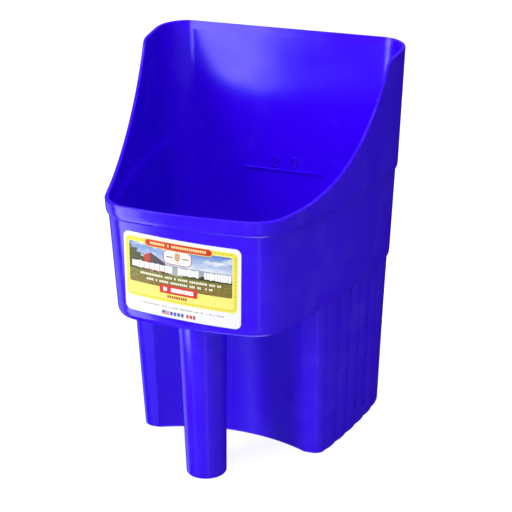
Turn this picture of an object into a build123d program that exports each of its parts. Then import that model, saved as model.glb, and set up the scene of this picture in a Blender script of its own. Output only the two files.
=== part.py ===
from build123d import *
from math import acos, asin, cos, degrees, radians, sin, tan
import os

# Feed scoop: one stepped tub with a tall back wall, a round grip hung under its front, and a printed label.
# Millimetres, +Z up. The scoop stands on its base at z = 0, the label faces -Y, and X = 0 is the plane of
# symmetry.

# Heights
LEDGE_Z = 105.0  # underside of the label band, where the front steps back to the lower body
COLLAR_Z = 169.5  # underside of the collar, over the front face
COLLAR_SINK = 2.0  # degrees that the collar's underside slopes down towards the back
FRONT_RIM_Z = 180.0
LIP_Z = 244.8  # top of the scooping lip

# Plan at the base, before draft. The tub is narrow at the label and wide at the lip.
HALF_DEPTH = 74.4
HALF_WIDTH_FRONT = 44.9
HALF_WIDTH_BACK = 73.2
SIDE_BOW = 7.0
FRONT_BOW = 4.4
FRONT_CORNER_R = 21.0
BACK_CORNER_R = 16.5

# Moulding draft, wall, and how far each tier stands out over the one below
SIDE_DRAFT = 1.95
SIDE_DRAFT_BACK = 2.2  # the back half flares a little more
FRONT_DRAFT = 2.6
BACK_DRAFT = 2.9
WALL = 2.3
BAND_STEP = 1.5
COLLAR_STEP = 1.3
STEP_RISE = 4.5  # height over which a tier rounds out to its full size
INNER_STEP_RISE = 8.0  # the same for the collar's step on the inside, which is softer
LEDGE_LIP = 0.3  # how far the underside of the band reaches past the lower body
BASE_EDGE_RUN = 1.2
BASE_EDGE_RISE = 1.6
EDGE_FACETS = 4

# Lower body: a hollowed front between two feet, and reeded sides
FOOT_Y = -23.7
FOOT_CORNER_R = 6.8
HOLLOW_Y = -11.7
HOLLOW_HALF_SPAN = 50.5
REEDS = 5
REED_PITCH = 13.4
REED_RISE = 0.7
FIRST_GROOVE_Y = -4.1

# Rim seen from the side
RIM_CURVE_Y = -60.6  # where the level front rim begins to climb
RIM_CURVE_R = 122.0
RIM_TOP_Z = 242.7
RIM_TOP_SLOPE = 3.2
RIM_SHOULDER_R = 8.0
RIM_EDGE_R = 0.8
BEVEL_HALF_WIDTH = 73.0
BEVEL_HEIGHT = 5.0
BEVEL_EDGE = 1.2  # thickness left at the scooping edge

# Level line and its numeral, raised inside the back wall
LEVEL_Z = 149.4
LEVEL_HALF_LENGTH = 27.6
MARK_WIDTH = 0.9
MARK_RISE = 0.45
NUMERAL_GAP = 2.6  # from the line up to the numeral
NUMERAL_HEIGHT = 6.6
NUMERAL_R = 2.3  # half the width of a digit
DIGIT_OFFSET = 6.6

# Grip: a tapered tube on a boss under the ledge, closed by an end cap
GRIP_Y = -64.7
GRIP_TOP_R = 14.9
GRIP_END_R = 12.6
GRIP_WALL = 2.2
BOSS_LENGTH = 14.0
CAP_HEIGHT = 9.0
CAP_EDGE_R = 0.8
SPIGOT_HEIGHT = 8.0
FIT_GAP = 0.1

# Label
LABEL_WIDTH = 75.0
LABEL_HEIGHT = 52.0
LABEL_CORNER_R = 3.8
LABEL_X = -3.8
LABEL_Z = 137.5
LABEL_TILT = -2.4  # degrees, stuck on a little crooked
LABEL_THICKNESS = 0.25

REACH = 150.0  # longer than the scoop reaches in any direction from the origin


def front_y(z, grow):
    """Front face at height z, for a wall grown outwards by grow."""
    return -HALF_DEPTH - grow - z * tan(radians(FRONT_DRAFT))


def back_y(z, grow):
    return HALF_DEPTH + grow + z * tan(radians(BACK_DRAFT))


def half_widths(z, grow):
    front_half = HALF_WIDTH_FRONT + grow + z * tan(radians(SIDE_DRAFT))
    back_half = HALF_WIDTH_BACK + grow + z * tan(radians(SIDE_DRAFT_BACK))
    return front_half, back_half


def side_x(y, z, grow):
    """Half width of the bowed side at depth y."""
    front_half, back_half = half_widths(z, grow)
    front, back = front_y(z, grow), back_y(z, grow)
    along = (2 * y - front - back) / (back - front)
    return (front_half + back_half) / 2 + along * (back_half - front_half) / 2 + SIDE_BOW * (1 - along**2)


def level_plane(z, sink):
    """The plane at height z over the front face, sinking by sink degrees towards the back."""
    slope = radians(sink)
    middle_z = z - HALF_DEPTH * tan(slope)
    return Plane((0, 0, middle_z), x_dir=(1, 0, 0), z_dir=(0, sin(slope), cos(slope)))


def tub_outline(z, grow, sink=0.0, back_grow=None):
    """Full plan of the tub at height z: bowed front and sides, and four round corners."""
    front_half, back_half = half_widths(z, grow)
    front, back = front_y(z, grow), back_y(z, grow if back_grow is None else back_grow)
    middle = (front + back) / 2
    widest = side_x(middle, z, grow)
    with BuildSketch(level_plane(z, sink)) as outline:
        with BuildLine():
            face = ThreePointArc((-front_half, front), (0, front - FRONT_BOW), (front_half, front))
            right = ThreePointArc(face @ 1, (widest, middle), (back_half, back))
            rear = Line(right @ 1, (-back_half, back))
            ThreePointArc(rear @ 1, (-widest, middle), face @ 0)
        make_face()
        fillet(outline.vertices().group_by(Axis.Y)[0], FRONT_CORNER_R + grow)
        fillet(outline.vertices().group_by(Axis.Y)[-1], BACK_CORNER_R + grow)
    return outline.sketch


def lower_outline(z, grow):
    """Plan of the lower body at height z: the hollow front, two feet, reeded sides and the back."""
    foot = FOOT_Y - grow - z * tan(radians(FRONT_DRAFT))
    hollow = foot + HOLLOW_Y - FOOT_Y
    back = back_y(z, grow)
    foot_r = FOOT_CORNER_R + grow
    foot_x = side_x(foot + foot_r, z, grow)
    corner_r = BACK_CORNER_R + grow
    corner_y = back - corner_r
    corner_x = side_x(corner_y, z, grow) - corner_r
    last_groove = FIRST_GROOVE_Y + REEDS * REED_PITCH
    corner_start = degrees(asin((last_groove - corner_y) / corner_r))
    with BuildSketch(Plane.XY.offset(z)) as outline:
        with BuildLine():
            hollow_arc = TangentArc((0, hollow), (HOLLOW_HALF_SPAN, foot), tangent=(1, 0))
            pad = Line(hollow_arc @ 1, (foot_x - foot_r, foot))
            foot_corner = TangentArc(pad @ 1, (foot_x, foot + foot_r), tangent=(1, 0))
            corner = CenterArc((corner_x, corner_y), corner_r, corner_start, 90 - corner_start)
            Line(corner @ 1, (0, back))
            groove = foot_corner @ 1
            for i in range(REEDS + 1):
                y = FIRST_GROOVE_Y + i * REED_PITCH
                next_groove = corner @ 0 if i == REEDS else Vector(side_x(y, z, grow), y)
                SagittaArc(groove, next_groove, -REED_RISE)
                groove = next_groove
            mirror(about=Plane.YZ)
        make_face()
    return outline.sketch


def rounding(low, inner, outer, rise):
    """Levels (z, grow) of a quarter-round edge that starts flat at low and ends upright at low + rise."""
    turns = [radians(90) * i / EDGE_FACETS for i in range(EDGE_FACETS + 1)]
    return [(low + rise * (1 - cos(turn)), inner + (outer - inner) * sin(turn)) for turn in turns]


def easing(low, inner, outer, rise):
    """Levels (z, grow) of a soft S that leads from an upright wall to one set further out."""
    shares = [i / (2 * EDGE_FACETS) for i in range(2 * EDGE_FACETS + 1)]
    half = (outer - inner) / 2
    return [(low + rise * share, inner + half * (1 - cos(radians(180) * share))) for share in shares]


def inner_back(z):
    """How far the tub's inner back wall is grown: it runs straight from the ledge to the lip."""
    return BAND_STEP - WALL + COLLAR_STEP * (z - LEDGE_Z) / (LIP_Z - LEDGE_Z)


def grip_radius(z):
    return GRIP_END_R + (GRIP_TOP_R - GRIP_END_R) * z / LEDGE_Z


def bore_radius(z):
    return grip_radius(z) - GRIP_WALL


GRIP_AXIS = Axis((0, GRIP_Y, 0), (0, 0, 1))


# What the bevel takes from the inside of the lip: the inner wall flares out towards the scooping edge
with BuildPart() as lip_bevel:
    collar_grow = BAND_STEP + COLLAR_STEP
    flare = (WALL - BEVEL_EDGE) / BEVEL_HEIGHT
    lifts = (-2 * BEVEL_HEIGHT, BEVEL_HEIGHT)
    loft([tub_outline(LIP_Z + lift, collar_grow - BEVEL_EDGE + lift * flare) for lift in lifts], ruled=True)
    with BuildSketch(Plane.XY.offset(LIP_Z)):
        with Locations((0, HALF_DEPTH)):
            Rectangle(2 * BEVEL_HALF_WIDTH, HALF_DEPTH)
    extrude(amount=2 * BEVEL_HEIGHT, both=True, mode=Mode.INTERSECT)

# The bucket: lower body, ledge, label band, collar and scooping lip in one moulding
with BuildPart() as scoop_bucket:
    foot_edge = rounding(0, -BASE_EDGE_RUN, 0, BASE_EDGE_RISE)
    loft([lower_outline(z, grow) for z, grow in foot_edge + [(LEDGE_Z + WALL / 2, 0)]], ruled=True)
    band, collar = BAND_STEP, BAND_STEP + COLLAR_STEP
    tub = [tub_outline(z, grow) for z, grow in rounding(LEDGE_Z, LEDGE_LIP, band, STEP_RISE)]
    tub += [tub_outline(z, grow, COLLAR_SINK) for z, grow in rounding(COLLAR_Z, band, collar, STEP_RISE)]
    tub += [tub_outline(LIP_Z + WALL, collar)]
    loft(tub, ruled=True)
    cavity_edge = rounding(WALL, -BASE_EDGE_RUN - WALL, -WALL, BASE_EDGE_RISE)
    cavity = [lower_outline(z, grow) for z, grow in cavity_edge + [(LEDGE_Z + 2 * WALL, -WALL)]]
    loft(cavity, ruled=True, mode=Mode.SUBTRACT)
    edge_levels = rounding(LEDGE_Z + WALL, LEDGE_LIP - WALL, band - WALL, STEP_RISE)
    inside = [tub_outline(z, grow) for z, grow in edge_levels]
    step_levels = easing(COLLAR_Z - INNER_STEP_RISE / 4, band - WALL, collar - WALL, INNER_STEP_RISE)
    inside += [tub_outline(z, grow, COLLAR_SINK, inner_back(z)) for z, grow in step_levels]
    inside_top = LIP_Z + 2 * WALL
    inside += [tub_outline(inside_top, collar - WALL, back_grow=inner_back(inside_top))]
    loft(inside, ruled=True, mode=Mode.SUBTRACT)

    # Everything above the rim is cut away in side view
    climb_angle = degrees(acos(1 - (RIM_TOP_Z - FRONT_RIM_Z) / RIM_CURVE_R))
    with BuildSketch(Plane.YZ) as above_rim:
        with BuildLine():
            level = Line((-REACH, FRONT_RIM_Z), (RIM_CURVE_Y, FRONT_RIM_Z))
            climb = CenterArc((RIM_CURVE_Y, FRONT_RIM_Z + RIM_CURVE_R), RIM_CURVE_R, 270, climb_angle)
            top = PolarLine(climb @ 1, REACH, RIM_TOP_SLOPE)
            Polyline(top @ 1, (REACH, 2 * LIP_Z), (-REACH, 2 * LIP_Z), level @ 0)
        make_face()
        fillet(above_rim.vertices().sort_by_distance(climb @ 1)[0], RIM_SHOULDER_R)
    extrude(amount=REACH, both=True, mode=Mode.SUBTRACT)
    upper_faces = scoop_bucket.faces().filter_by(lambda face: face.center().Z > FRONT_RIM_Z - 1)
    rim_edges = upper_faces.filter_by(lambda face: face.normal_at().Z > 0.3).edges()
    fillet([edge for edge in rim_edges if rim_edges.count(edge) == 1], RIM_EDGE_R)

    # The inside of the lip is bevelled to a scooping edge
    add(lip_bevel.part, mode=Mode.SUBTRACT)

    # The boss that the grip is pushed onto, under the ledge
    boss_low, boss_high = LEDGE_Z - BOSS_LENGTH, LEDGE_Z + WALL / 2
    with BuildSketch(Plane.XZ.offset(-GRIP_Y)):
        with BuildLine():
            outside_low, outside_high = bore_radius(boss_low) - FIT_GAP, bore_radius(boss_high) - FIT_GAP
            Polyline(
                (outside_low - GRIP_WALL, boss_low),
                (outside_low, boss_low),
                (outside_high, boss_high),
                (outside_high - GRIP_WALL, boss_high),
                close=True,
            )
        make_face()
    revolve(axis=GRIP_AXIS)

    # Level line and a plain numeral, raised on the inside of the back wall
    lean = back_y(LEVEL_Z + 1, inner_back(LEVEL_Z + 1)) - back_y(LEVEL_Z, inner_back(LEVEL_Z))
    level_point = (0, back_y(LEVEL_Z, inner_back(LEVEL_Z)), LEVEL_Z)
    back_wall = Plane(level_point, x_dir=(1, 0, 0), z_dir=(0, -1, lean))
    with BuildSketch(back_wall):
        Rectangle(2 * LEVEL_HALF_LENGTH, MARK_WIDTH)
        with BuildLine():
            bowl_y = NUMERAL_GAP + NUMERAL_HEIGHT - NUMERAL_R
            left, right = -DIGIT_OFFSET - NUMERAL_R, -DIGIT_OFFSET + NUMERAL_R
            bowl = ThreePointArc((left, bowl_y), (-DIGIT_OFFSET, bowl_y + NUMERAL_R), (right, bowl_y))
            Polyline(bowl @ 1, (left, NUMERAL_GAP), (right, NUMERAL_GAP))
        trace(line_width=MARK_WIDTH)
        with Locations((0, NUMERAL_GAP)):
            Circle(MARK_WIDTH * 0.7)
        with Locations((DIGIT_OFFSET, NUMERAL_GAP + NUMERAL_HEIGHT / 2)):
            Ellipse(NUMERAL_R + MARK_WIDTH / 2, (NUMERAL_HEIGHT + MARK_WIDTH) / 2)
            Ellipse(NUMERAL_R - MARK_WIDTH / 2, (NUMERAL_HEIGHT - MARK_WIDTH) / 2, mode=Mode.SUBTRACT)
    extrude(amount=MARK_RISE, both=True)
scoop_bucket.part.label = "scoop_bucket"

# The grip: a hollow tapered tube
with BuildPart() as handle_tube:
    with BuildSketch(Plane.XZ.offset(-GRIP_Y)):
        with BuildLine():
            Polyline(
                (bore_radius(CAP_HEIGHT), CAP_HEIGHT),
                (grip_radius(CAP_HEIGHT), CAP_HEIGHT),
                (grip_radius(LEDGE_Z), LEDGE_Z),
                (bore_radius(LEDGE_Z), LEDGE_Z),
                close=True,
            )
        make_face()
    revolve(axis=GRIP_AXIS)
handle_tube.part.label = "handle_tube"

# The cap that closes the grip's lower end, with a hollow spigot up the bore
with BuildPart() as handle_end_plug:
    with BuildSketch(Plane.XZ.offset(-GRIP_Y)) as cap_section:
        with BuildLine():
            spigot_r = bore_radius(CAP_HEIGHT) - FIT_GAP
            spigot_top = CAP_HEIGHT + SPIGOT_HEIGHT
            Polyline(
                (0, 0),
                (GRIP_END_R, 0),
                (grip_radius(CAP_HEIGHT), CAP_HEIGHT),
                (spigot_r, CAP_HEIGHT),
                (spigot_r, spigot_top),
                (spigot_r - GRIP_WALL, spigot_top),
                (spigot_r - GRIP_WALL, GRIP_WALL),
                (0, GRIP_WALL),
                close=True,
            )
        make_face()
        fillet(cap_section.vertices().sort_by_distance((GRIP_END_R, 0))[0], CAP_EDGE_R)
    revolve(axis=GRIP_AXIS)
handle_end_plug.part.label = "handle_end_plug"

# The label: a thin printed sheet that follows the bowed front of the band
with BuildPart() as front_label:
    band_low, band_high = LEDGE_Z + STEP_RISE, COLLAR_Z
    sheet_grow = BAND_STEP + LABEL_THICKNESS
    loft([tub_outline(z, sheet_grow) for z in (band_low, band_high)], ruled=True)
    band_face = [tub_outline(z, BAND_STEP) for z in (band_low, band_high)]
    loft(band_face, ruled=True, mode=Mode.SUBTRACT)
    with BuildSketch(Plane.XZ.offset(HALF_DEPTH - FRONT_CORNER_R)):
        with Locations((LABEL_X, LABEL_Z)):
            RectangleRounded(LABEL_WIDTH, LABEL_HEIGHT, LABEL_CORNER_R, rotation=LABEL_TILT)
    extrude(amount=REACH, mode=Mode.INTERSECT)
front_label.part.label = "front_label"

os.makedirs("parts", exist_ok=True)
export_step(scoop_bucket.part, "parts/scoop_bucket.step")
export_step(handle_tube.part, "parts/handle_tube.step")
export_step(handle_end_plug.part, "parts/handle_end_plug.step")
export_step(front_label.part, "parts/front_label.step")
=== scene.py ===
from math import cos, radians, sin

import bpy
from mathutils import Matrix, Vector


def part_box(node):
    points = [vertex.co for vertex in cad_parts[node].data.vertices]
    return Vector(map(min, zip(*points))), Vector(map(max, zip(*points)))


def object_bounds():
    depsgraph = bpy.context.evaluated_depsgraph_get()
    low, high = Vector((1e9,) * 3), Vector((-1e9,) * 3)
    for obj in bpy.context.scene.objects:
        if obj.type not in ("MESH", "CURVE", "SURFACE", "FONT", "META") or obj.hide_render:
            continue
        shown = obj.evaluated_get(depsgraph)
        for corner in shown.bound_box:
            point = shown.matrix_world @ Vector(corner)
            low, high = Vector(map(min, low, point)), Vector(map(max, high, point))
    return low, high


# Feed scoop, moulded in deep blue polypropylene, with a printed paper label on its front band.
# Metres, +Z up. The label faces -Y, and the scoop stands on the floor at z = 0.

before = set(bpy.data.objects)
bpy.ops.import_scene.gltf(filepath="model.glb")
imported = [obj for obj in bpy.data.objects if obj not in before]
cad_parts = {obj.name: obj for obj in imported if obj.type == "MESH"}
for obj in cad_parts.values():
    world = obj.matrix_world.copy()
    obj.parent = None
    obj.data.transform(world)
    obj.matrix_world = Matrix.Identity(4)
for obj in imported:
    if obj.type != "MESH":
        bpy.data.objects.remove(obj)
cad_low, cad_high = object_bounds()
MM = 0.001

# Camera: degrees and metres, with the lens and the sensor in millimetres
CAMERA_AZIMUTH = 21.22
CAMERA_ELEVATION = 22.6
CAMERA_ROLL = -0.9
CAMERA_DISTANCE = 1.135
CAMERA_LENS = 125.8
CAMERA_SENSOR = 36.0
CAMERA_AIM_HEIGHT = 0.118
CAMERA_AIM_RIGHT = 9.7 * MM
CAMERA_AIM_UP = 1.5 * MM

# Blue polypropylene
PIGMENT_DEEP = (0.0225, 0.0, 0.60, 1.0)
PIGMENT_BRIGHT = (0.0260, 0.0, 0.64, 1.0)
ROUGHNESS = (0.15, 0.23)
PLASTIC_IOR = 1.49
PLASTIC_SPECULAR = 0.5
SCUFF_COLOUR = (150, 150, 235)
SCUFF_PALENESS = 0.22  # how much of the scuffs' colour shows
SCUFF_DULLNESS = 0.15  # roughness that a scuff adds
SCUFF_DEPTH = 0.02 * MM
SCUFF_RISING = (radians(24), radians(35), 0)
SCUFF_FALLING = (radians(-38), radians(-22), radians(30))
WAVE_HEIGHT = 0.25 * MM  # slow waviness of the walls
TEXTURE_HEIGHT = 0.012 * MM  # fine mould texture
WARP_RISE = (0.194, 0.212)  # heights between which the back wall's warp sets in
WARP_BEHIND = (0.04, 0.05)  # Y between which it sets in, so that the front is left alone
WARP_FACING = (-0.8, -0.97)  # Y of the normal, so that only the wall's front side has it
WARP_LEAN = 0.05

# Label print: millimetres from the sheet's centre
LABEL_TILT = radians(-2.4)
PRINT_EDGE = 0.16  # softness of a printed edge
PRINT_SHADE = 0.68  # the inks' share of the brightness that they show under the key light
PAPER = (238, 238, 241)
PAPER_ROUGHNESS = (0.34, 0.46)
PAPER_SPECULAR = 0.35
FIBRE_HEIGHT = 0.01 * MM
RIPPLE_HEIGHT = 0.12 * MM
DASH_FILL = 0.74  # share of each cell that a block of small print covers
BLOCK_FILL = 0.84  # and a block of large print
BADGE_CENTRE = (-2.0, 14.4)
WHEAT_LEAN = 38  # degrees that a grain leans out from the stalk
RIBBON_X = -1.6
RIBBON_Y = 21.3
TITLE_LEFT = -31.9
TITLE_WIDTH = 63.6
TITLE_Y = 6.0
TITLE_CHARACTERS = 19
TITLE_WORDS = ((0, 8), (9, 4), (14, 5))  # where each word starts, and its length, in characters
AMOUNT_X = -1.6
AMOUNT_Y = -7.2
AMOUNT_WORDS = ((-10.2, 2.4), (0.9, 14.6))  # middle and width of each word in the red box
FOOT_LINE_Y = -22.9

# Studio
FLOOR_HALF = 14.0
FLOOR_GLOW = 0.86
WORLD_STRENGTH = 0.16
WHITE = (1, 1, 1, 1)
BLACK = (0, 0, 0, 1)


def linear(red, green, blue):
    """A colour given as 0-255 screen values, as the linear colour that shaders use."""
    channels = [c / 255 for c in (red, green, blue)]
    return tuple(c / 12.92 if c <= 0.04045 else ((c + 0.055) / 1.055) ** 2.4 for c in channels) + (1.0,)


def ink(red, green, blue):
    """A printed colour, darkened so that under the key light it shows as the screen values given."""
    return tuple(PRINT_SHADE * c for c in linear(red, green, blue)[:3]) + (1.0,)


class Nodes:
    """Short ways to add shader nodes to one material."""

    def __init__(self, name):
        self.material = bpy.data.materials.new(name)
        self.material.use_nodes = True
        self.tree = self.material.node_tree
        self.tree.nodes.clear()
        self.shader = self.add("ShaderNodeBsdfPrincipled")
        self.link(self.shader.outputs["BSDF"], self.add("ShaderNodeOutputMaterial").inputs["Surface"])

    def add(self, kind, **settings):
        node = self.tree.nodes.new(kind)
        for name, value in settings.items():
            setattr(node, name, value)
        return node

    def link(self, source, target):
        self.tree.links.new(source, target)

    def feed(self, target, value):
        """Links a socket, or sets a number or colour, on an input."""
        if isinstance(value, bpy.types.NodeSocket):
            self.link(value, target)
        else:
            target.default_value = value

    def set(self, name, value):
        """Feeds one of the shader's own inputs."""
        self.feed(self.shader.inputs[name], value)

    def math(self, operation, a, b=0.0):
        node = self.add("ShaderNodeMath", operation=operation)
        self.feed(node.inputs[0], a)
        self.feed(node.inputs[1], b)
        return node.outputs[0]

    def plus(self, a, b):
        return self.math("ADD", a, b)

    def minus(self, a, b):
        return self.math("SUBTRACT", a, b)

    def times(self, a, b):
        return self.math("MULTIPLY", a, b)

    def over(self, a, b):
        return self.math("DIVIDE", a, b)

    def size_of(self, a):
        return self.math("ABSOLUTE", a)

    def vector_math(self, operation, a, b=None):
        node = self.add("ShaderNodeVectorMath", operation=operation)
        self.link(a, node.inputs[0])
        if b is not None:
            self.link(b, node.inputs[1])
        return node.outputs[0]

    def split(self, vector):
        node = self.add("ShaderNodeSeparateXYZ")
        self.link(vector, node.inputs[0])
        return node.outputs

    def mix(self, share, under, over):
        node = self.add("ShaderNodeMix", data_type="RGBA")
        self.feed(node.inputs["Factor"], share)
        self.feed(node.inputs["A"], under)
        self.feed(node.inputs["B"], over)
        return node.outputs["Result"]

    def ramp(self, value, low, high, start=0.0, end=1.0):
        """value from low to high, as start to end, and held at both ends."""
        node = self.add("ShaderNodeMapRange", clamp=True)
        names = ("Value", "From Min", "From Max", "To Min", "To Max")
        for name, number in zip(names, (value, low, high, start, end)):
            self.feed(node.inputs[name], number)
        return node.outputs["Result"]

    def place(self, location=(0, 0, 0), rotation=(0, 0, 0), scale=(1, 1, 1)):
        """Object coordinates as seen by a texture that is moved, turned and scaled on the object."""
        node = self.add("ShaderNodeMapping", vector_type="TEXTURE")
        self.link(self.add("ShaderNodeTexCoord").outputs["Object"], node.inputs["Vector"])
        node.inputs["Location"].default_value = location
        node.inputs["Rotation"].default_value = rotation
        node.inputs["Scale"].default_value = scale
        return node.outputs["Vector"]

    def noise(self, vector, scale, detail=3.0, roughness=0.5):
        node = self.add("ShaderNodeTexNoise")
        self.feed(node.inputs["Vector"], vector)
        node.inputs["Scale"].default_value = scale
        node.inputs["Detail"].default_value = detail
        node.inputs["Roughness"].default_value = roughness
        return node.outputs["Fac"]

    def bump(self, height, distance, strength=1.0, under=None):
        node = self.add("ShaderNodeBump")
        self.feed(node.inputs["Height"], height)
        node.inputs["Distance"].default_value = distance
        node.inputs["Strength"].default_value = strength
        if under is not None:
            self.link(under, node.inputs["Normal"])
        return node.outputs["Normal"]


def scratches(nodes, angle, density, seed):
    """Fine straight scuffs that run one way, broken up into short lengths."""
    along = nodes.place(location=(seed, seed, seed), rotation=angle, scale=(1, 1, 0.035))
    lines = nodes.noise(along, 900.0, detail=1.0)
    patches = nodes.noise(nodes.place(location=(seed, 0, seed)), 38.0, detail=1.0)
    fine = nodes.ramp(lines, density, density + 0.03)
    return nodes.times(fine, nodes.ramp(patches, 0.56, 0.66))


def leaning_back_wall(nodes):
    """The surface normal, with the top of the inner back wall leaning back, as it is warped in moulding."""
    point = nodes.split(nodes.place())
    normal = nodes.add("ShaderNodeNewGeometry").outputs["Normal"]
    facing_front = nodes.ramp(nodes.split(normal)["Y"], *WARP_FACING)
    inner_back = nodes.times(facing_front, nodes.ramp(point["Y"], *WARP_BEHIND))
    lift = nodes.add("ShaderNodeCombineXYZ")
    lean = nodes.times(inner_back, nodes.ramp(point["Z"], *WARP_RISE, 0.0, WARP_LEAN))
    nodes.link(lean, lift.inputs["Z"])
    return nodes.vector_math("NORMALIZE", nodes.vector_math("ADD", normal, lift.outputs[0]))


def moulded_plastic(name, seed):
    """Deep blue polypropylene: satin gloss, flow shading, fine mould texture and a few pale scuffs."""
    nodes = Nodes(name)
    flow = nodes.noise(nodes.place(location=(seed, 0, 0), scale=(1, 1, 2.2)), 14.0, detail=2.0)
    pigment = nodes.mix(nodes.ramp(flow, 0.35, 0.65), PIGMENT_DEEP, PIGMENT_BRIGHT)
    rising = scratches(nodes, SCUFF_RISING, density=0.67, seed=seed + 0.31)
    falling = scratches(nodes, SCUFF_FALLING, density=0.68, seed=seed + 0.77)
    scuffs = nodes.math("MAXIMUM", rising, falling)
    pale = nodes.times(scuffs, SCUFF_PALENESS)
    nodes.set("Base Color", nodes.mix(pale, pigment, linear(*SCUFF_COLOUR)))
    wear = nodes.noise(nodes.place(location=(0, seed, 0)), 55.0, detail=4.0, roughness=0.6)
    dulled = nodes.times(scuffs, SCUFF_DULLNESS)
    nodes.set("Roughness", nodes.plus(nodes.ramp(wear, 0.3, 0.7, *ROUGHNESS), dulled))
    nodes.set("IOR", PLASTIC_IOR)
    nodes.set("Specular IOR Level", PLASTIC_SPECULAR)
    wave = nodes.noise(nodes.place(), 26.0, detail=1.0)
    waviness = nodes.bump(wave, WAVE_HEIGHT, 0.4, under=leaning_back_wall(nodes))
    grain = nodes.noise(nodes.place(), 1400.0, detail=2.0)
    texture = nodes.bump(grain, TEXTURE_HEIGHT, 0.4, under=waviness)
    nodes.set("Normal", nodes.bump(nodes.times(scuffs, -1.0), SCUFF_DEPTH, 0.5, under=texture))
    return nodes.material


class Print(Nodes):
    """A printed sheet. Its artwork is painted in layers, in millimetres from the sheet's centre."""

    def __init__(self, name, centre, tilt, paper):
        super().__init__(name)
        point = self.split(self.place(location=centre, rotation=(0, -tilt, 0), scale=(MM, MM, MM)))
        self.across, self.up = point["X"], point["Z"]
        self.colour = paper

    def paint(self, mask, colour):
        self.colour = self.mix(mask, self.colour, colour)

    def inside(self, distance):
        """1 where a signed distance in millimetres is negative, with the soft edge of ink."""
        return self.ramp(distance, -PRINT_EDGE / 2, PRINT_EDGE / 2, 1.0, 0.0)

    def below(self, height):
        """1 where the sheet is lower than a height."""
        return self.inside(self.minus(self.up, height))

    def distance_to_box(self, x, y, width, height, corner=0.0):
        past_x = self.minus(self.size_of(self.minus(self.across, x)), width / 2 - corner)
        past_y = self.minus(self.size_of(self.minus(self.up, y)), height / 2 - corner)
        if not corner:
            return self.math("MAXIMUM", past_x, past_y)
        square_x = self.math("POWER", self.math("MAXIMUM", past_x, 0.0), 2.0)
        square_y = self.math("POWER", self.math("MAXIMUM", past_y, 0.0), 2.0)
        outside = self.math("SQRT", self.plus(square_x, square_y))
        inner = self.math("MINIMUM", self.math("MAXIMUM", past_x, past_y), 0.0)
        return self.minus(self.plus(outside, inner), corner)

    def box(self, x, y, width, height, corner=0.0):
        return self.inside(self.distance_to_box(x, y, width, height, corner))

    def ring(self, x, y, width, height, corner, line):
        """The outline of a rounded box, line wide."""
        edge = self.size_of(self.distance_to_box(x, y, width, height, corner))
        return self.inside(self.minus(edge, line / 2))

    def oval(self, x, y, width, height, turn=0.0):
        dx, dy = self.minus(self.across, x), self.minus(self.up, y)
        along = self.plus(self.times(dx, cos(turn)), self.times(dy, sin(turn)))
        over = self.minus(self.times(dy, cos(turn)), self.times(dx, sin(turn)))
        square_along = self.math("POWER", self.over(along, width / 2), 2.0)
        square_over = self.math("POWER", self.over(over, height / 2), 2.0)
        distance = self.minus(self.math("SQRT", self.plus(square_along, square_over)), 1.0)
        return self.inside(self.times(distance, min(width, height) / 2))

    def chance(self, cell, seed):
        """A steady random number for each cell of a row."""
        source = self.add("ShaderNodeTexWhiteNoise", noise_dimensions="1D")
        self.feed(source.inputs["W"], self.plus(cell, seed))
        return source.outputs["Value"]

    def cells(self, x, width, count):
        """Splits a row into count cells: the number of the cell, and the place across it from 0 to 1."""
        step = self.over(self.minus(self.across, x - width / 2), width / count)
        return self.math("FLOOR", step), self.math("FRACT", step)

    def dashes(self, x, y, width, height, count, seed, gap=0.18):
        """A row of blocks in place of a line of small print. gap is the share left out, as between words."""
        cell, place = self.cells(x, width, count)
        kept = self.math("GREATER_THAN", self.chance(cell, seed), gap)
        inked = self.times(kept, self.math("LESS_THAN", place, DASH_FILL))
        return self.times(self.box(x, y, width, height), inked)

    def blocks(self, x, y, width, height, count, seed):
        """A row of plain upright blocks in place of large print, some a little shorter than others."""
        cell, place = self.cells(x, width, count)
        reach = self.ramp(self.chance(cell, seed), 0.2, 0.9, 0.40 * height, 0.5 * height)
        away = self.size_of(self.minus(self.up, y))
        tall = self.inside(self.minus(away, reach))
        return self.times(self.math("LESS_THAN", place, BLOCK_FILL), tall)


def sky(art):
    """Pale at the horizon, blue above, with drifts of cloud."""
    blue = art.mix(art.ramp(art.up, 4.0, 20.0), ink(226, 234, 242), ink(88, 132, 205))
    clouds = art.noise(art.place(scale=(2.6 * MM, MM, MM)), 0.22, detail=4.0, roughness=0.6)
    return art.mix(art.ramp(clouds, 0.5, 0.68, 0.0, 0.8), blue, ink(240, 243, 248))


def barn(art, scene):
    """A red gable with slates, at the left of the hedge."""
    roof = art.minus(15.0, art.times(art.size_of(art.minus(art.across, -19.4)), 0.55))
    walls = art.times(art.below(roof), art.box(-17.0, 9.5, 14.0, 13.0))
    scene = art.mix(walls, scene, ink(190, 62, 44))
    right_slope = art.times(walls, art.inside(art.minus(-19.8, art.across)))
    slates = art.times(right_slope, art.inside(art.minus(8.2, art.up)))
    return art.mix(slates, scene, ink(82, 74, 84))


def grass(art):
    """Streaked grass, dry in front and green further off."""
    blades = art.noise(art.place(scale=(3.0 * MM, MM, MM)), 1.1, detail=4.0, roughness=0.7)
    streak = art.ramp(blades, 0.35, 0.65)
    near = art.mix(streak, ink(104, 92, 34), ink(158, 128, 58))
    far = art.mix(streak, ink(92, 98, 36), ink(140, 142, 62))
    return art.mix(art.ramp(art.up, -6.0, 3.5), near, far)


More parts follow.
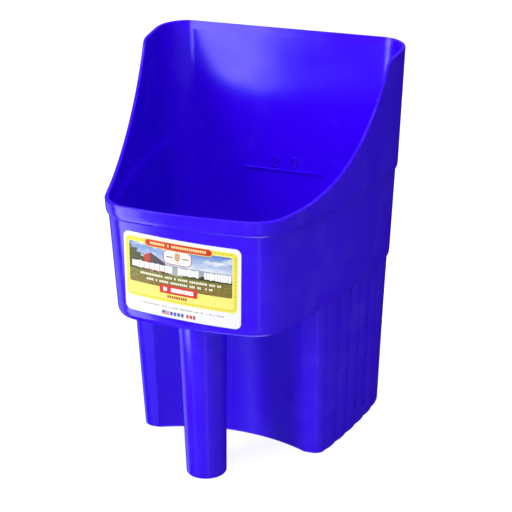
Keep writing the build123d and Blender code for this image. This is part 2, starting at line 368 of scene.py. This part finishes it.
def landscape(art):
    """A small farm scene: sky, a hedge line, trees on the left, a red barn, and a field below."""
    ground = art.place(scale=(MM, MM, MM))
    leaves = art.noise(ground, 1.4, detail=4.0, roughness=0.7)
    foliage = art.mix(art.ramp(leaves, 0.35, 0.65), ink(28, 34, 20), ink(96, 102, 52))
    bumps = art.noise(ground, 0.35, detail=3.0, roughness=0.6)
    hedge_rise = art.ramp(art.across, 6.0, 12.0, -0.4, 0.8)
    hedge_top = art.plus(art.plus(art.times(bumps, 7.0), 0.2), hedge_rise)
    scene = art.mix(art.below(hedge_top), sky(art), foliage)
    tree_top = art.plus(art.minus(art.times(bumps, 16.0), art.times(art.across, 0.62)), -10.5)
    trees = art.times(art.below(tree_top), art.ramp(art.across, -19.0, -22.0))
    scene = barn(art, art.mix(trees, scene, foliage))
    field_top = art.plus(art.times(bumps, 1.4), 2.0)
    scene = art.mix(art.below(field_top), scene, grass(art))
    art.paint(art.box(-0.8, 7.0, 66.0, 26.5, 1.2), scene)


def badge(art):
    """A plain white plaque with an ear of wheat."""
    x, y = BADGE_CENTRE
    gold = ink(196, 132, 40)
    art.paint(art.box(x, y, 18.2, 9.4, 3.4), ink(176, 60, 44))
    art.paint(art.box(x, y, 17.3, 8.5, 3.0), ink(246, 245, 240))
    art.paint(art.box(x, y - 0.6, 0.45, 6.2), gold)
    for row in range(3):
        for side in (-1, 1):
            grain_y = y - 0.9 + 1.5 * row
            grain_turn = radians(90 - WHEAT_LEAN * side)
            art.paint(art.oval(x + 0.95 * side, grain_y, 2.2, 0.95, grain_turn), gold)
    art.paint(art.oval(x, y + 3.1, 0.95, 2.0), gold)
    for side in (-1, 1):
        art.paint(art.box(x + 5.1 * side, y, 4.0, 0.7), ink(70, 66, 62))


def panel(art):
    """The yellow panel, with a row of stitches inside its edge."""
    yellow = art.mix(art.ramp(art.up, -16.0, 24.0), ink(240, 231, 88), ink(236, 226, 70))
    art.paint(art.box(-0.35, 3.8, 71.6, 39.2, 3.0), yellow)
    art.paint(art.box(-0.8, -9.3, 65.5, 8.4), ink(244, 236, 120))
    landscape(art)
    art.paint(art.ring(-0.8, 3.8, 66.6, 33.6, 1.8, 0.4), ink(246, 240, 150))
    stitch = art.math("FRACT", art.over(art.plus(art.across, art.up), 2.4))
    stitches = art.math("LESS_THAN", stitch, 0.55)
    art.paint(art.times(art.ring(-0.4, 3.8, 69.0, 36.4, 2.2, 0.55), stitches), ink(196, 164, 30))


def ribbon(art):
    art.paint(art.box(RIBBON_X, RIBBON_Y - 0.1, 43.4, 5.0, 2.4), ink(236, 196, 60))
    art.paint(art.box(RIBBON_X, RIBBON_Y, 42.4, 4.1, 2.0), ink(206, 44, 32))
    art.paint(art.dashes(RIBBON_X, RIBBON_Y, 36.0, 1.7, count=26, seed=11.0, gap=0.1), ink(246, 222, 150))


def title(art, white):
    """Three words of large white blocks, over a shadow."""
    middle = TITLE_LEFT + TITLE_WIDTH / 2
    backing = art.box(middle, TITLE_Y - 0.2, TITLE_WIDTH + 1.0, 6.4, 0.6)
    art.paint(art.times(backing, 0.5), ink(44, 36, 24))
    letters = art.blocks(middle, TITLE_Y, TITLE_WIDTH, 5.0, count=2 * TITLE_CHARACTERS, seed=40.0)
    pitch = TITLE_WIDTH / TITLE_CHARACTERS
    for first, length in TITLE_WORDS:
        word = art.box(TITLE_LEFT + pitch * (first + length / 2), TITLE_Y, pitch * length, 5.2)
        art.paint(art.times(word, letters), white)


def small_print(art):
    """Rows of blocks for the lines of small print, from the top of the sheet down."""
    art.paint(art.dashes(-0.4, 0.5, 52.0, 1.4, count=42, seed=21.0), ink(244, 240, 226))
    art.paint(art.dashes(-0.4, -2.6, 44.0, 1.4, count=36, seed=34.0), ink(244, 240, 226))


def amount(art, white):
    """The red box with two words of white blocks, and a dark red line under it."""
    art.paint(art.box(AMOUNT_X, AMOUNT_Y, 24.4, 5.6), ink(216, 42, 38))
    letters = art.blocks(AMOUNT_X, AMOUNT_Y, 19.6, 3.0, count=14, seed=3.0)
    for middle, width in AMOUNT_WORDS:
        art.paint(art.times(art.box(middle, AMOUNT_Y, width, 3.0), letters), white)
    art.paint(art.dashes(AMOUNT_X, -11.9, 14.4, 1.9, count=10, seed=9.0, gap=0.1), ink(170, 60, 24))


def foot_lines(art):
    """A grey line of small print, and a row of coloured boxes and blocks under it."""
    art.paint(art.dashes(-0.6, -19.0, 56.0, 0.8, count=60, seed=17.0), ink(150, 150, 158))
    art.paint(art.box(-10.0, FOOT_LINE_Y, 5.0, 2.7), ink(206, 150, 160))
    art.paint(art.box(-11.4, FOOT_LINE_Y + 0.6, 2.2, 1.5), ink(84, 92, 190))
    violet = art.dashes(-2.4, FOOT_LINE_Y, 9.4, 2.4, count=4, seed=5.0, gap=-1.0)
    art.paint(violet, ink(72, 78, 186))
    rose = art.dashes(6.6, FOOT_LINE_Y, 6.4, 2.4, count=3, seed=8.0, gap=-1.0)
    art.paint(rose, ink(196, 60, 84))


def printed_label(name):
    """White coated paper with a yellow panel, a farm scene, and plain blocks in place of lettering."""
    low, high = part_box("front_label")
    art = Print(name, (low + high) / 2, LABEL_TILT, ink(*PAPER))
    white = ink(250, 250, 250)
    panel(art)
    ribbon(art)
    badge(art)
    title(art, white)
    small_print(art)
    amount(art, white)
    foot_lines(art)
    fibres = art.noise(art.place(), 900.0, detail=3.0)
    speckle = art.ramp(fibres, 0.3, 0.7, 0.0, 0.05)
    art.set("Base Color", art.mix(speckle, art.colour, ink(120, 120, 128)))
    art.set("Roughness", art.ramp(fibres, 0.3, 0.7, *PAPER_ROUGHNESS))
    art.set("Specular IOR Level", PAPER_SPECULAR)
    ripple = art.bump(art.noise(art.place(), 60.0, detail=1.0), RIPPLE_HEIGHT, 0.5)
    art.set("Normal", art.bump(fibres, FIBRE_HEIGHT, 0.4, under=ripple))
    return art.material


def white_floor():
    nodes = Nodes("studio_floor")
    grain = nodes.noise(nodes.place(), 40.0, detail=2.0)
    nodes.set("Base Color", nodes.ramp(grain, 0.0, 1.0, 0.30, 0.32))
    nodes.set("Roughness", 0.9)
    nodes.set("Specular IOR Level", 0.0)
    nodes.set("Emission Color", WHITE)
    nodes.set("Emission Strength", FLOOR_GLOW)
    return nodes.material


def glow(name, strength):
    """An even white light for a studio card."""
    nodes = Nodes(name)
    nodes.set("Base Color", BLACK)
    nodes.set("Specular IOR Level", 0.0)
    nodes.set("Emission Color", WHITE)
    nodes.set("Emission Strength", strength)
    nodes.material.cycles.emission_sampling = "NONE"
    return nodes.material


def sheet(name, corners, material):
    mesh = bpy.data.meshes.new(name)
    mesh.from_pydata(corners, [], [tuple(range(len(corners)))])
    mesh.materials.append(material)
    piece = bpy.data.objects.new(name, mesh)
    bpy.context.scene.collection.objects.link(piece)
    return piece


def card(name, corners, strength):
    """A studio card that only reflections show."""
    piece = sheet(name, corners, glow(name + "_light", strength))
    piece.visible_camera = False
    piece.visible_diffuse = False
    piece.visible_shadow = False
    piece.visible_transmission = False


def upright_card(name, start, end, low, high, strength):
    """A card that stands on the line from start to end in plan."""
    card(name, [(*start, low), (*end, low), (*end, high), (*start, high)], strength)


def level_card(name, start, end, height, strength):
    """A level card from one corner to the opposite one."""
    card(name, rectangle(start, end, height), strength)


def rectangle(start, end, height):
    """The corners of a level rectangle, given two opposite ones in plan."""
    (left, near), (right, far) = start, end
    return [(left, near, height), (right, near, height), (right, far, height), (left, far, height)]


def softbox(name, position, size, power):
    """A soft light that points at the middle of the scoop, and that reflections don't show."""
    data = bpy.data.lights.new(name, "AREA")
    data.shape = "RECTANGLE"
    data.size, data.size_y = size
    data.energy = power
    light = bpy.data.objects.new(name, data)
    light.location = position
    aim = (cad_low + cad_high) / 2 - Vector(position)
    light.rotation_euler = aim.to_track_quat("-Z", "Y").to_euler()
    light.visible_glossy = False
    bpy.context.scene.collection.objects.link(light)


def studio():
    near_left, far_right = (-FLOOR_HALF, -FLOOR_HALF), (FLOOR_HALF, FLOOR_HALF)
    floor = sheet("studio_floor", rectangle(near_left, far_right, 0), white_floor())
    floor.visible_glossy = False
    # What gloss sees in place of the floor: a dark ground far below, with a pale patch under the scoop
    level_card("dark_ground", near_left, far_right, height=-1.05, strength=0.01)
    level_card("pale_ground", (-0.40, -0.40), (0.40, 0.30), height=-1.0, strength=2.4)
    # At the left: a bright high card for the back wall, and a dim low one for the grip and the corners
    upright_card("left_high_card", (-0.115, -0.201), (-0.21, -0.142), low=0.0, high=0.6, strength=4.6)
    upright_card("left_low_card", (-0.50, -0.09), (-0.50, 0.25), low=-0.45, high=0.0, strength=0.7)
    # Narrow ones for the hollow beside the grip, and for the right edges of the grip and the feet
    upright_card("hollow_card", (-0.33, -0.47), (-0.27, -0.50), low=-0.50, high=0.0, strength=0.5)
    upright_card("right_card", (0.34, -0.70), (0.44, -0.64), low=-0.60, high=0.0, strength=0.5)
    softbox("key_softbox", (-0.76, -1.05, 0.60), size=(0.36, 1.2), power=20)
    softbox("top_softbox", (0.10, -0.35, 1.6), size=(1.0, 1.0), power=40)
    world = bpy.data.worlds.new("studio_world")
    world.use_nodes = True
    background = world.node_tree.nodes["Background"]
    background.inputs["Color"].default_value = WHITE
    background.inputs["Strength"].default_value = WORLD_STRENGTH
    bpy.context.scene.world = world


def camera():
    azimuth, elevation, roll = radians(CAMERA_AZIMUTH), radians(CAMERA_ELEVATION), radians(CAMERA_ROLL)
    back = Vector((sin(azimuth) * cos(elevation), -cos(azimuth) * cos(elevation), sin(elevation)))
    right = Vector((cos(azimuth), sin(azimuth), 0))
    up = back.cross(right)
    aim = Vector((0, 0, CAMERA_AIM_HEIGHT)) + right * CAMERA_AIM_RIGHT + up * CAMERA_AIM_UP
    data = bpy.data.cameras.new("camera")
    data.lens = CAMERA_LENS
    data.sensor_width = CAMERA_SENSOR
    view = bpy.data.objects.new("camera", data)
    turned_right = right * cos(roll) + up * sin(roll)
    turned_up = up * cos(roll) - right * sin(roll)
    turn = Matrix((turned_right, turned_up, back)).transposed().to_4x4()
    view.matrix_world = Matrix.Translation(aim + back * CAMERA_DISTANCE) @ turn
    bpy.context.scene.collection.objects.link(view)
    bpy.context.scene.camera = view


def dress(node, material):
    """Gives a CAD node its finish."""
    for material_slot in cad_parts[node].material_slots:
        material_slot.material = material


dress("scoop_bucket", moulded_plastic("blue_polypropylene", 0.0))
dress("handle_tube", moulded_plastic("blue_polypropylene_grip", 0.4))
dress("handle_end_plug", moulded_plastic("blue_polypropylene_cap", 0.8))
dress("front_label", printed_label("label_print"))
studio()
camera()
bpy.context.scene.view_settings.view_transform = "Standard"
